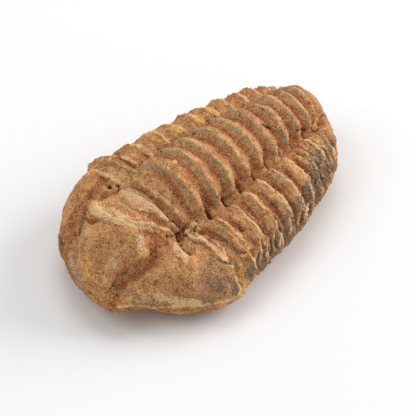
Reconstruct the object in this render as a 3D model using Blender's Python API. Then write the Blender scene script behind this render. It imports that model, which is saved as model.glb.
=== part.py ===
"""Fossil trilobite of the Calymene kind: one stone, lying on its belly.

The head points to -Y, the tail to +Y and the animal's left is +X. The stone stands on z = 0 and the
script works in millimetres, turned into metres when the mesh is made.

The body is a loft of closed sections, one for each place along the body. A section is an arched axis
lobe, a furrow on each side of it, two side regions that roll down to the edge, and a belly with a small
flat spot. The relief (rings, pleurae, furrows, pits and the lumps of the head) is then raised along the
surface's own normal.
"""
import math

import bmesh
import bpy
import numpy as np
from mathutils import Matrix, Vector

MM = 0.001

# Driving sizes, in millimetres
AXIS_ROUNDNESS = 0.72        # exponent of the axis lobe's arch; 0.5 would be half an ellipse
LEFT_SQUARENESS = 2.2        # superellipse exponent of the left side region
RIGHT_SQUARENESS = 2.7       # the right side stands fuller
BELLY_SQUARENESS = 2.5       # superellipse exponent of the belly
AXIS_SHARE_AT_TIPS = 0.62    # the axis never takes more of a section's half-width than this
FIRST_PLACE = -9.0           # body place of the front tip
LAST_PLACE = 15.0            # body place of the tail tip
RING_HEIGHT = 1.3            # crest to groove, on the axis
RING_GROOVE = 0.54           # share of a segment that the groove lies behind the ring's place
PLEURA_HEIGHT = 1.3          # crest to groove, on the sides
PLEURA_LAG = 0.36            # at the head a pleura's crest lies this share of a segment behind its ring's
PLEURA_CATCH_UP = 0.055      # and each segment makes up this much
RIGHT_SIDE_WEAR = 0.45       # the right side's pleurae are worn lower
FURROW_DEPTH = 0.7           # between the axis and the sides
PIT_DEPTH = 1.0              # where a groove between two rings meets the furrow
PIT_SHARE = 0.3              # place of such a pit behind the ring's crest, as a share of one segment
PIT_LENGTH = 0.13            # half-length of such a pit, as a share of one segment
NECK_RING_HEIGHT = 0.6
HALF_RING_HEIGHT = 0.35      # low crest ahead of the first thorax ring
NECK_RING_PLACE = -0.95
UNEVENNESS = 0.16            # height of the long, low waves over the whole stone
LEDGE_HEIGHT = 0.5           # step across the glabella, higher in front
LEDGE_REACH = 7.0            # the step's top sinks back to the plain body within this
LAST_RING = 12.0

# One segment towards the tail, a ring from groove to groove and a pleura from crest to crest: place as a
# share of the segment, height
RING_PROFILE = ((0.0, 0.0), (0.08, 0.1), (0.17, 0.45), (0.26, 0.85), (0.34, 1.0), (0.46, 0.97), (0.58, 0.82),
                (0.72, 0.52), (0.86, 0.18), (1.0, 0.0))
PLEURA_PROFILE = ((0.0, 0.97), (0.07, 0.76), (0.16, 0.22), (0.24, 0.03), (0.38, 0.22), (0.55, 0.6), (0.72, 0.92),
                  (0.85, 1.0), (1.0, 0.97))

# Sections from the front tip to the tail. Places 1 to 11 are the crests of the thorax rings, 0 is the
# line between head and thorax, and the tail shield begins after place 11.
SECTION_FIELDS = ("place", "y", "left", "right", "edge_z", "furrow_z", "crest_z", "axis", "centre", "belly_z")
SECTIONS = (
    (-9.0, -41.1, 2.7, -2.3, 6.4, 6.4, 6.4, 5.0, 2.5, 6.4),
    (-8.0, -40.3, 7.2, 2.1, 6.3, 7.6, 8.8, 6.2, 1.2, 4.5),
    (-7.0, -38.6, 8.7, 6.7, 6.3, 9.0, 11.8, 7.6, -0.2, 3.2),
    (-6.0, -36.5, 9.2, 10.7, 6.3, 10.2, 14.5, 8.4, -0.8, 2.5),
    (-5.0, -34.1, 11.3, 13.3, 6.0, 11.5, 16.6, 8.8, -1.1, 1.7),
    (-4.0, -31.5, 14.6, 15.0, 5.6, 12.7, 18.1, 8.8, -1.2, 0.9),
    (-3.0, -28.8, 17.3, 16.9, 5.2, 13.4, 18.7, 8.5, -1.0, 0.0),
    (-2.0, -26.2, 19.0, 18.6, 5.1, 13.7, 18.5, 8.1, -0.7, -0.2),
    (-1.0, -24.3, 20.4, 19.5, 5.0, 13.7, 18.0, 7.9, -0.4, -0.35),
    (0.0, -22.6, 20.9, 19.4, 5.0, 13.8, 17.8, 8.0, -0.1, -0.4),
    (1.0, -17.3, 19.6, 20.0, 5.0, 14.7, 22.2, 8.5, 0.0, -0.4),
    (2.0, -12.8, 18.6, 19.4, 5.0, 15.0, 22.0, 8.6, 0.0, -0.4),
    (3.0, -8.3, 17.8, 18.8, 5.0, 15.2, 21.2, 8.4, 0.0, -0.4),
    (4.0, -3.9, 17.3, 17.9, 5.0, 15.2, 21.0, 8.0, 0.0, -0.4),
    (5.0, 0.3, 16.3, 17.4, 5.0, 15.0, 20.7, 7.6, 0.0, -0.35),
    (6.0, 4.4, 14.9, 16.5, 5.0, 14.7, 20.2, 7.2, 0.0, -0.3),
    (7.0, 8.4, 13.4, 15.5, 5.0, 14.3, 19.5, 6.7, -0.1, -0.2),
    (8.0, 12.2, 11.9, 14.6, 5.0, 13.7, 18.6, 6.3, -0.3, 0.0),
    (9.0, 15.6, 10.0, 13.6, 5.0, 13.0, 17.6, 5.9, -0.5, 0.4),
    (10.0, 18.4, 7.6, 12.3, 5.0, 12.2, 16.6, 5.7, -0.7, 0.8),
    (11.0, 20.7, 5.0, 10.5, 5.0, 11.2, 15.3, 5.2, -0.9, 1.3),
    (12.0, 22.6, 3.0, 8.5, 5.0, 9.7, 13.3, 4.6, -1.2, 2.0),
    (13.0, 24.1, 1.4, 6.2, 5.0, 8.1, 10.6, 3.9, -1.5, 2.8),
    (14.0, 25.2, 0.2, 4.1, 5.0, 6.5, 7.7, 3.1, -1.7, 3.8),
    (15.0, 25.8, -1.8, 1.8, 5.0, 5.0, 5.0, 2.4, -1.8, 5.0),
)

# How far the edge of a section lies behind its middle, by place: left side, right side
SWEEP = ((-9.0, 0.0, 0.0), (-5.0, 0.0, 0.0), (0.0, 0.6, 0.0), (1.0, 1.0, -1.2), (3.0, 1.6, 0.4),
         (6.0, 1.8, 1.4), (9.0, 1.8, 1.8), (12.0, 0.8, 0.8), (15.0, 0.0, 0.0))

# Lumps and hollows: x, y, radius across, radius along, height (negative sinks)
LUMPS = (
    (-7.5, -31.7, 1.8, 2.0, 1.3),     # right rear lobe of the glabella
    (6.2, -31.8, 2.1, 2.2, 1.2),      # left rear lobe of the glabella
    (-15.2, -27.0, 2.6, 5.5, 0.8),    # roll of the right cheek
    (13.5, -27.5, 3.8, 4.8, 0.7),     # left cheek
    (9.2, -20.6, 1.6, 1.0, 0.6),      # crust between head and thorax
    (7.9, -22.9, 0.9, 1.5, -1.0),     # slit behind the left cheek
    (-9.9, -24.3, 0.9, 0.9, -0.8),    # pits at the right end of the neck ring
    (-8.3, -23.0, 0.9, 0.9, -0.7),
    (16.0, -13.9, 1.8, 1.3, 0.5),     # blunt end of the first left pleura
)

# Furrows (negative) and ridges that run free of the segments: points as seen from above, half-width, height
LINES = (
    (((8.6, -21.6), (11.0, -19.5), (15.0, -18.2), (18.0, -16.8), (20.5, -15.8)), 0.8, -0.8),
    (((-9.5, -16.4), (-12.5, -17.2), (-16.0, -18.2), (-19.5, -18.8)), 1.2, 0.9),
    (((5.6, -29.0), (8.0, -32.0), (7.4, -34.7), (6.9, -37.0), (6.6, -39.8)), 1.6, -1.2),
    (((-10.4, -25.0), (-11.4, -28.0), (-11.6, -31.0), (-10.9, -33.8), (-10.3, -36.0)), 1.3, -1.3),
)

# Long waves over the stone: pairs of (turns along x, y and z in radians per millimetre, start), multiplied
UNEVEN_WAVES = (
    ((0.52, 0.31, 0.0, 1.1), (0.0, 0.44, -0.37, 0.4)),
    ((0.83, 0.0, -0.57, 2.3), (0.35, 0.71, 0.0, 5.0)),
)

# The ledge across the glabella, as seen from above
LEDGE = ((-9.0, -29.6), (-5.0, -31.2), (-1.3, -31.4), (2.0, -28.6), (5.0, -25.8), (7.0, -24.5), (11.5, -24.7))

ROWS_IN_SEGMENT = (0.02, 0.2, 0.38, 0.54, 0.66, 0.77, 0.88)
ROWS_IN_HEAD_STEP = 3
ROWS_IN_TAIL_STEP = 3
AXIS_COLUMNS = 5
SIDE_COLUMNS = 9
BELLY_COLUMNS = 6

STONE_COLOUR = (0.41, 0.225, 0.11, 1.0)
STONE_ROUGHNESS = 0.86


def remove_everything():
    """Empty the scene that Blender starts with."""
    for item in list(bpy.data.objects):
        bpy.data.objects.remove(item, do_unlink=True)


def smooth_curve(places, values, place, flat_ends=False):
    """Cubic curve through the points, with slopes from their neighbours."""
    places = np.asarray(places, float)
    values = np.asarray(values, float)
    slopes = np.gradient(values, places)
    if flat_ends:
        slopes[0] = 0.0
        slopes[-1] = 0.0
    index = np.clip(np.searchsorted(places, place) - 1, 0, len(places) - 2)
    width = places[index + 1] - places[index]
    t = (place - places[index]) / width
    start = (1 + 2 * t) * (1 - t) ** 2 * values[index] + t * (1 - t) ** 2 * width * slopes[index]
    end = t * t * (3 - 2 * t) * values[index + 1] + t * t * (t - 1) * width * slopes[index + 1]
    return start + end


def section_at(place):
    """The section's sizes at any place, as a dictionary of arrays."""
    table = np.array(SECTIONS)
    sizes = {}
    for column, name in enumerate(SECTION_FIELDS[1:], start=1):
        sizes[name] = smooth_curve(table[:, 0], table[:, column], place, flat_ends=(name == "y"))
    sweep = np.array(SWEEP)
    sizes["sweep_left"] = smooth_curve(sweep[:, 0], sweep[:, 1], place, flat_ends=True)
    sizes["sweep_right"] = smooth_curve(sweep[:, 0], sweep[:, 2], place, flat_ends=True)
    return sizes


def blend_step(value, start, end):
    """0 before start, 1 after end, smooth between."""
    t = np.clip((value - start) / (end - start), 0.0, 1.0)
    return t * t * (3 - 2 * t)


def body_grid(places, axis_columns_count, side_columns_count, belly_columns_count):
    """Points of the plain body, with the coordinates that the relief needs.

    Columns run from the middle of the back over the left side to the middle of the belly, and back up the
    right side, so the grid is closed round each section.
    """
    zone_top = [("axis", k / axis_columns_count) for k in range(axis_columns_count)]
    zone_side = [("side", k / side_columns_count) for k in range(side_columns_count)]
    zone_belly = [("belly", k / belly_columns_count) for k in range(belly_columns_count)]
    half = zone_top + zone_side + zone_belly
    columns = [(1, zone, share) for zone, share in half] + [(0, "belly", 1.0)]
    columns += [(-1, zone, share) for zone, share in reversed(half[1:])]

    size = section_at(places)
    points = np.zeros((len(places), len(columns), 3))
    lobe_share = np.zeros(points.shape[:2])
    side_share = np.zeros(points.shape[:2])
    for number, (side, zone, share) in enumerate(columns):
        half_width = size["left"] if side >= 0 else size["right"]
        sweep = size["sweep_left"] if side >= 0 else size["sweep_right"]
        squareness = LEFT_SQUARENESS if side >= 0 else RIGHT_SQUARENESS
        reach = half_width - side * size["centre"]
        axis = np.minimum(size["axis"], AXIS_SHARE_AT_TIPS * reach)
        angle = share * math.pi / 2
        if zone == "axis":
            out = axis * math.sin(angle)
            arch = max(math.cos(angle), 0.0) ** (2 * AXIS_ROUNDNESS)
            height = size["furrow_z"] + (size["crest_z"] - size["furrow_z"]) * arch
            back = 0.0
            lobe_share[:, number] = math.sin(angle)
        elif zone == "side":
            out = axis + (reach - axis) * math.sin(angle) ** (2 / squareness)
            drop = max(math.cos(angle), 0.0) ** (2 / squareness)
            height = size["edge_z"] + (size["furrow_z"] - size["edge_z"]) * drop
            back = math.sin(angle)
            lobe_share[:, number] = out / np.maximum(axis, 0.1)
            side_share[:, number] = share
        else:
            out = reach * max(math.cos(angle), 0.0) ** (2 / BELLY_SQUARENESS)
            drop = math.sin(angle) ** (2 / BELLY_SQUARENESS)
            height = size["edge_z"] - (size["edge_z"] - size["belly_z"]) * drop
            back = 1.0
            lobe_share[:, number] = 9.0
            side_share[:, number] = 1.0 + share
        points[:, number, 0] = size["centre"] + side * out
        points[:, number, 1] = size["y"] + sweep * back
        points[:, number, 2] = height
    place = np.repeat(np.asarray(places)[:, None], len(columns), axis=1)
    return points, place, lobe_share, side_share


def surface_normals(points):
    """Outward unit normals of a grid that is closed round its columns."""
    along = np.gradient(points, axis=0)
    wrapped = np.concatenate([points[:, -1:], points, points[:, :1]], axis=1)
    around = wrapped[:, 2:] - wrapped[:, :-2]
    normals = np.cross(around, along)
    length = np.linalg.norm(normals, axis=2, keepdims=True)
    return normals / np.maximum(length, 1e-9)


def profile_height(profile, share):
    """Height of a profile, from 0 to 1, at a share of the segment."""
    shares, heights = zip(*profile)
    return smooth_curve(shares, heights, share, flat_ends=True)


def distance_to_line(x, y, line):
    """Distance from each point to a line of straight pieces, as seen from above."""
    nearest = np.full(x.shape, np.inf)
    for (x0, y0), (x1, y1) in zip(line[:-1], line[1:]):
        run_x = x1 - x0
        run_y = y1 - y0
        share = ((x - x0) * run_x + (y - y0) * run_y) / (run_x ** 2 + run_y ** 2)
        share = np.clip(share, 0.0, 1.0)
        nearest = np.minimum(nearest, np.hypot(x - x0 - share * run_x, y - y0 - share * run_y))
    return nearest


def free_relief(x, y):
    """Lumps, free lines and the ledge: the relief that doesn't follow the segments."""
    height = np.zeros(x.shape)
    for lump_x, lump_y, across, along, lump_height in LUMPS:
        reach = ((x - lump_x) / across) ** 2 + ((y - lump_y) / along) ** 2
        height = height + lump_height * np.exp(-reach)
    for line, half_width, line_height in LINES:
        height = height + line_height * np.exp(-(distance_to_line(x, y, line) / half_width) ** 2)
    ledge_x, ledge_y = zip(*LEDGE)
    ahead = np.interp(x, ledge_x, ledge_y) - y
    ledge = blend_step(ahead, -0.2, 0.5) * blend_step(ahead, LEDGE_REACH, 0.5)
    sides = blend_step(x, ledge_x[0] - 1.5, ledge_x[0] + 1.0) * blend_step(x, ledge_x[-1] + 0.5, ledge_x[-1] - 1.5)
    return height + LEDGE_HEIGHT * ledge * sides


def unevenness(points):
    """Long, low waves in three directions."""
    height = np.zeros(points.shape[:-1])
    for pair in UNEVEN_WAVES:
        wave = np.ones(height.shape)
        for along_x, along_y, along_z, start in pair:
            wave = wave * np.sin(points @ np.array((along_x, along_y, along_z)) + start)
        height = height + wave
    return UNEVENNESS * height


def relief(points, place, lobe_share, side_share):
    """Height of the relief over the plain body, in millimetres."""
    x = points[..., 0]
    y = points[..., 1]
    upper = blend_step(side_share, 1.12, 0.92)
    segment = np.mod(place, 1.0)
    thorax = blend_step(place, -0.1, 0.25) * blend_step(place, LAST_RING + 1.5, LAST_RING - 3)
    ringed = blend_step(place, 0.4, 0.8) * thorax

    # A ring ends at the furrow, where lobe_share is 1, and the pleurae begin just outside it
    on_axis = blend_step(lobe_share, 1.08, 0.92)
    ring_share = np.mod(place - RING_GROOVE, 1.0)
    rings = RING_HEIGHT * (profile_height(RING_PROFILE, ring_share) - 0.5) * on_axis * ringed
    pleura_share = np.mod(place * (1 + PLEURA_CATCH_UP) - PLEURA_LAG, 1.0)
    on_side = blend_step(lobe_share, 1.0, 1.25)
    wear = np.where(x < 0, RIGHT_SIDE_WEAR, 1.0)
    pleurae = PLEURA_HEIGHT * wear * (profile_height(PLEURA_PROFILE, pleura_share) - 0.5) * on_side
    height = rings + pleurae * thorax

    furrow = np.exp(-((lobe_share - 1.04) / 0.13) ** 2)
    height = height - FURROW_DEPTH * furrow * blend_step(place, -8.0, -6.0) * blend_step(place, 13.5, 11.5)
    pit = np.exp(-((segment - PIT_SHARE) / PIT_LENGTH) ** 2)
    height = height - PIT_DEPTH * furrow * pit * ringed

    # The neck ring stands between two furrows, ahead of the first thorax ring
    neck_ring = np.exp(-((place - NECK_RING_PLACE) / 0.5) ** 2)
    neck_ring = neck_ring - 0.9 * np.exp(-((place + 0.1) / 0.28) ** 2)
    neck_ring = neck_ring - 0.6 * np.exp(-((place + 2.0) / 0.35) ** 2)
    half_ring = np.exp(-((place - 0.22) / 0.16) ** 2)
    neck = NECK_RING_HEIGHT * neck_ring + HALF_RING_HEIGHT * half_ring
    height = height + neck * blend_step(lobe_share, 1.0, 0.7)
    return (height + free_relief(x, y)) * upper + unevenness(points)


def fossil_surface(places, axis_count=AXIS_COLUMNS, side_count=SIDE_COLUMNS, belly_count=BELLY_COLUMNS):
    """The finished grid of points, in millimetres."""
    points, place, lobe_share, side_share = body_grid(places, axis_count, side_count, belly_count)
    height = relief(points, place, lobe_share, side_share)
    points = points + height[..., None] * surface_normals(points)
    points[..., 2] = np.maximum(points[..., 2], 0.0)
    return points


def grid_places():
    """Rows of the grid, between the two tips."""
    head = np.arange(1, -int(FIRST_PLACE) * ROWS_IN_HEAD_STEP) / ROWS_IN_HEAD_STEP + FIRST_PLACE
    thorax = [ring + share for ring in range(int(LAST_RING)) for share in ROWS_IN_SEGMENT]
    tail_rows = int(LAST_PLACE - LAST_RING) * ROWS_IN_TAIL_STEP
    tail = np.arange(tail_rows) / ROWS_IN_TAIL_STEP + LAST_RING
    return np.concatenate([head, thorax, tail])


def make_fossil():
    """Build the stone as one closed mesh, with its origin under the middle of its box."""
    points = fossil_surface(grid_places())
    rows, columns = points.shape[:2]
    front = Vector((SECTIONS[0][8], SECTIONS[0][1], SECTIONS[0][4])) * MM
    back = Vector((SECTIONS[-1][8], SECTIONS[-1][1], SECTIONS[-1][4])) * MM

    mesh = bpy.data.meshes.new("trilobite")
    shape = bmesh.new()
    grid = [[shape.verts.new(Vector(point) * MM) for point in row] for row in points]
    front_tip = shape.verts.new(front)
    back_tip = shape.verts.new(back)
    for column in range(columns):
        following = (column + 1) % columns
        shape.faces.new((front_tip, grid[0][following], grid[0][column]))
        shape.faces.new((back_tip, grid[-1][column], grid[-1][following]))
        for row in range(rows - 1):
            shape.faces.new((grid[row][column], grid[row][following],
                             grid[row + 1][following], grid[row + 1][column]))
    bmesh.ops.triangulate(shape, faces=list(shape.faces))
    bmesh.ops.recalc_face_normals(shape, faces=list(shape.faces))
    shape.to_mesh(mesh)
    shape.free()
    mesh.shade_smooth()
    corners = np.array([vertex.co for vertex in mesh.vertices])
    middle = (corners.min(axis=0) + corners.max(axis=0)) / 2
    mesh.transform(Matrix.Translation((-middle[0], -middle[1], 0.0)))

    fossil = bpy.data.objects.new("trilobite", mesh)
    bpy.context.scene.collection.objects.link(fossil)
    return fossil


def stone_material():
    """Dry brown limestone."""
    material = bpy.data.materials.new("fossil_stone")
    material.use_nodes = True
    shader = material.node_tree.nodes["Principled BSDF"]
    shader.inputs["Base Color"].default_value = STONE_COLOUR
    shader.inputs["Roughness"].default_value = STONE_ROUGHNESS
    shader.inputs["Metallic"].default_value = 0.0
    return material


def main():
    """Make the part."""
    remove_everything()
    fossil = make_fossil()
    fossil.data.materials.append(stone_material())


main()
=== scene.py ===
"""Calymene trilobite fossil: one brown stone on a pale floor, in soft studio light.

The stone's skin is a closed grid. It starts from the same sections and the same relief as the solid part,
then takes on what is too fine for the solid: fine lines, layers, cracks, crust, pits and grain, together
with painted shade in its hollows and painted highlights on its crests and ridges. The places of single
marks are given as they are seen in the photograph, in pixels of a 416 x 416 frame.
Lengths are in millimetres until the mesh is made.
"""
import itertools
import logging
import math
from dataclasses import dataclass, field
from enum import Enum
from typing import Callable, Self

import bpy
import numpy as np
from mathutils import Matrix, Vector


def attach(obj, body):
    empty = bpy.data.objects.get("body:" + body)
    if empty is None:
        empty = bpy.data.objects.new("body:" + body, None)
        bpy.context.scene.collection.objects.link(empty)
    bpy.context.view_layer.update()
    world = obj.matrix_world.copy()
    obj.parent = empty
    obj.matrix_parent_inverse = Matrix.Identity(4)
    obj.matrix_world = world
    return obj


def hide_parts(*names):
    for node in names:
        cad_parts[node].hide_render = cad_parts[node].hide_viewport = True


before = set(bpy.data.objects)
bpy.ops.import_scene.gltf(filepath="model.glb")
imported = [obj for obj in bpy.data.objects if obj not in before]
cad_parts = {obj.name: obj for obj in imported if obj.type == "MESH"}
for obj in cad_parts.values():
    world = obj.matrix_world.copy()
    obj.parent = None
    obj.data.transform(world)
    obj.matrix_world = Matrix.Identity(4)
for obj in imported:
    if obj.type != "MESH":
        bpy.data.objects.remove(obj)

MM = 0.001
PHOTO_SIZE = 416
SMALLEST_LENGTH = 1e-9

log = logging.getLogger("fossil")

Array = np.ndarray
Point = tuple[float, float]
Line = tuple[Point, ...]
Span = tuple[float, float]
Triple = tuple[float, float, float]
Ends = tuple[float, float, float, float]
Colour = tuple[float, float, float, float]
Values = dict[str, object]


class Side(Enum):
    """Side of the animal, as the sign of x."""

    LEFT = 1
    RIGHT = -1


class Zone(Enum):
    """Part of a section, from the middle of the back down to the middle of the belly."""

    AXIS = "axis"
    SIDE = "side"
    BELLY = "belly"


class Tint(Enum):
    """What colours the stone in places. The value is the name of its mask. Dark also carries painted shade
    in grooves, cracks, pits and under ledges, and pale also carries painted highlights on crests, ridges
    and edges.
    """

    CREST = "crest"
    RUST = "rust"
    DARK = "dark"
    PALE = "pale"
    OCHRE = "ochre"
    SOOT = "soot"
    CHALK = "chalk"


def blend_step(value: Array, start: float, end: float) -> Array:
    """Smooth step from 0 at start to 1 at end, which may lie below start."""
    share = np.clip((value - start) / (end - start), 0.0, 1.0)
    return share * share * (3 - 2 * share)


def shelf(value: Array, start: float, first: float, last: float, end: float) -> Array:
    """1 from first to last, falling smoothly to 0 at start and at end."""
    return blend_step(value, start, first) * blend_step(value, end, last)


def bell(value: Array, middle: float, half_width: float) -> Array:
    """Bell curve, 1 at its middle."""
    return np.exp(-(((value - middle) / half_width) ** 2))


def smooth_curve(places: Array, values: Array, place: Array, flat_ends: bool = False) -> Array:
    """Cubic curve through points, with slopes from their neighbours.

    Args:
        places: where the points are, rising.
        values: the points' values.
        place: where the curve is read.
        flat_ends: whether the curve starts and ends level.

    Returns:
        The curve's values.
    """
    slopes = np.gradient(values, places)
    if flat_ends:
        slopes[0] = 0.0
        slopes[-1] = 0.0
    index = np.clip(np.searchsorted(places, place) - 1, 0, len(places) - 2)
    width = places[index + 1] - places[index]
    t = (place - places[index]) / width
    start = (1 + 2 * t) * (1 - t) ** 2 * values[index] + t * (1 - t) ** 2 * width * slopes[index]
    end = t * t * (3 - 2 * t) * values[index + 1] + t * t * (t - 1) * width * slopes[index + 1]
    return start + end


def distance_to_line(x: Array, y: Array, line: Line) -> Array:
    """Distance from each point of a plane to a line of straight pieces.

    Args:
        x: first coordinates.
        y: second coordinates.
        line: the line's points; one point alone is a spot.

    Returns:
        The distances.
    """
    nearest = np.hypot(x - line[0][0], y - line[0][1])
    for (x0, y0), (x1, y1) in zip(line[:-1], line[1:]):
        run_x = x1 - x0
        run_y = y1 - y0
        share = ((x - x0) * run_x + (y - y0) * run_y) / (run_x**2 + run_y**2)
        share = np.clip(share, 0.0, 1.0)
        nearest = np.minimum(nearest, np.hypot(x - x0 - share * run_x, y - y0 - share * run_y))
    return nearest


class StoneNoise:
    """Smooth random heights in space, from about -1 to 1, the same on every run."""

    TABLE = 4096
    PRIMES = (73856093, 19349663, 83492791)
    STRENGTH = 1.6
    LAYER_SHIFT = 17.3

    def __init__(self, seed: int) -> None:
        """Draw the lattice's slopes from a fixed seed."""
        slopes = np.random.default_rng(seed).normal(size=(self.TABLE, 3))
        self.slopes = slopes / np.linalg.norm(slopes, axis=1, keepdims=True)

    def at(self, points: Array, size: float, shift: float = 0) -> Array:
        """One layer of noise.

        Args:
            points: where it is read, with the three coordinates last.
            size: the width of a bump.
            shift: moves the noise, so that layers differ.

        Returns:
            The noise at each point.
        """
        scaled = (points + shift) / size
        cell = np.floor(scaled).astype(np.int64)
        part = scaled - cell
        fade = part**3 * (part * (part * 6 - 15) + 10)
        total = np.zeros(points.shape[:-1])
        for corner in itertools.product((0, 1), repeat=3):
            offset = np.array(corner)
            index = np.bitwise_xor.reduce((cell + offset) * self.PRIMES, axis=-1) % self.TABLE
            value = np.sum(self.slopes[index] * (part - offset), axis=-1)
            weight = np.prod(np.where(offset == 1, fade, 1 - fade), axis=-1)
            total = total + value * weight
        return total * self.STRENGTH

    def layers(self, points: Array, size: float, count: int, keep: float = 0.55, shift: float = 0) -> Array:
        """Noise in layers, each half the size of the one before.

        Args:
            points: where it is read.
            size: width of the largest bumps.
            count: number of layers.
            keep: strength of each layer against the one before.
            shift: moves the noise, so that sums of layers differ.

        Returns:
            The sum, from about -1 to 1.
        """
        total = np.zeros(points.shape[:-1])
        strength = 1.0
        for layer in range(count):
            total = total + strength * self.at(points, size / 2**layer, shift + self.LAYER_SHIFT * layer)
            strength *= keep
        return total


@dataclass(frozen=True)
class PhotoView:
    """Camera of the photograph. Lengths are in millimetres, but the clip distances are in metres."""

    azimuth: float = 44.0
    elevation: float = 45.0
    distance: float = 1200.0
    pixels_per_mm: float = 5.2
    sensor: float = 36.0
    target: Triple = (-3.136, 3.434, 0.035)
    clip_start: float = 0.01
    clip_end: float = 20.0

    def axes(self) -> tuple[Array, Array, Array]:
        """Directions of the camera.

        Returns:
            Unit vectors to the right, up and towards the camera.
        """
        turn = math.radians(self.azimuth)
        rise = math.radians(self.elevation)
        right = np.array((math.cos(turn), math.sin(turn), 0.0))
        back = np.array((math.sin(turn) * math.cos(rise), -math.cos(turn) * math.cos(rise), math.sin(rise)))
        return right, np.cross(back, right), back

    def pixels(self, points: Array) -> tuple[Array, Array]:
        """Where points are seen in the photograph.

        Args:
            points: points in the part's frame, in millimetres.

        Returns:
            Pixels from the left and pixels from the top.
        """
        right, up, back = self.axes()
        away = points - np.array(self.target)
        scale = self.pixels_per_mm * self.distance / (self.distance - away @ back)
        return PHOTO_SIZE / 2 + (away @ right) * scale, PHOTO_SIZE / 2 - (away @ up) * scale

    def make_camera(self) -> None:
        """Create the camera and make it the scene's."""
        right, up, back = self.axes()
        data = bpy.data.cameras.new("camera")
        data.sensor_width = self.sensor
        data.lens = self.pixels_per_mm * self.distance * self.sensor / PHOTO_SIZE
        data.clip_start = self.clip_start
        data.clip_end = self.clip_end
        camera = bpy.data.objects.new("camera", data)
        turned = Matrix((right, up, back)).transposed().to_4x4()
        place = (np.array(self.target) + back * self.distance) * MM
        camera.matrix_world = Matrix.Translation(Vector(place)) @ turned
        bpy.context.scene.collection.objects.link(camera)
        bpy.context.scene.camera = camera


@dataclass
class Skin:
    """Grid of points over the stone, closed round its columns, with what the relief needs to know.

    Place runs along the body. The lobe share is how far out a point lies, against the axis lobe's half
    width. The side share is 0 on the axis lobe, 1 at the edge and 2 at the middle of the belly.
    """

    points: Array
    place: Array
    lobe_share: Array
    side_share: Array
    masks: dict[Tint, Array] = field(default_factory=dict)

    def normals(self) -> Array:
        """Outward directions.

        Returns:
            A unit normal for each point.
        """
        along = np.gradient(self.points, axis=0)
        wrapped = np.concatenate([self.points[:, -1:], self.points, self.points[:, :1]], axis=1)
        around = wrapped[:, 2:] - wrapped[:, :-2]
        normals = np.cross(around, along)
        return normals / np.maximum(np.linalg.norm(normals, axis=2, keepdims=True), SMALLEST_LENGTH)

    def raise_by(self, height: Array) -> None:
        """Move the points out along their normals."""
        self.points = self.points + height[..., None] * self.normals()

    def paint(self, tint: Tint, amount: Array) -> None:
        """Add to a mask, up to 1."""
        before = self.masks.get(tint, np.zeros(self.place.shape))
        self.masks[tint] = 1 - (1 - before) * (1 - np.clip(amount, 0.0, 1.0))


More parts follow.
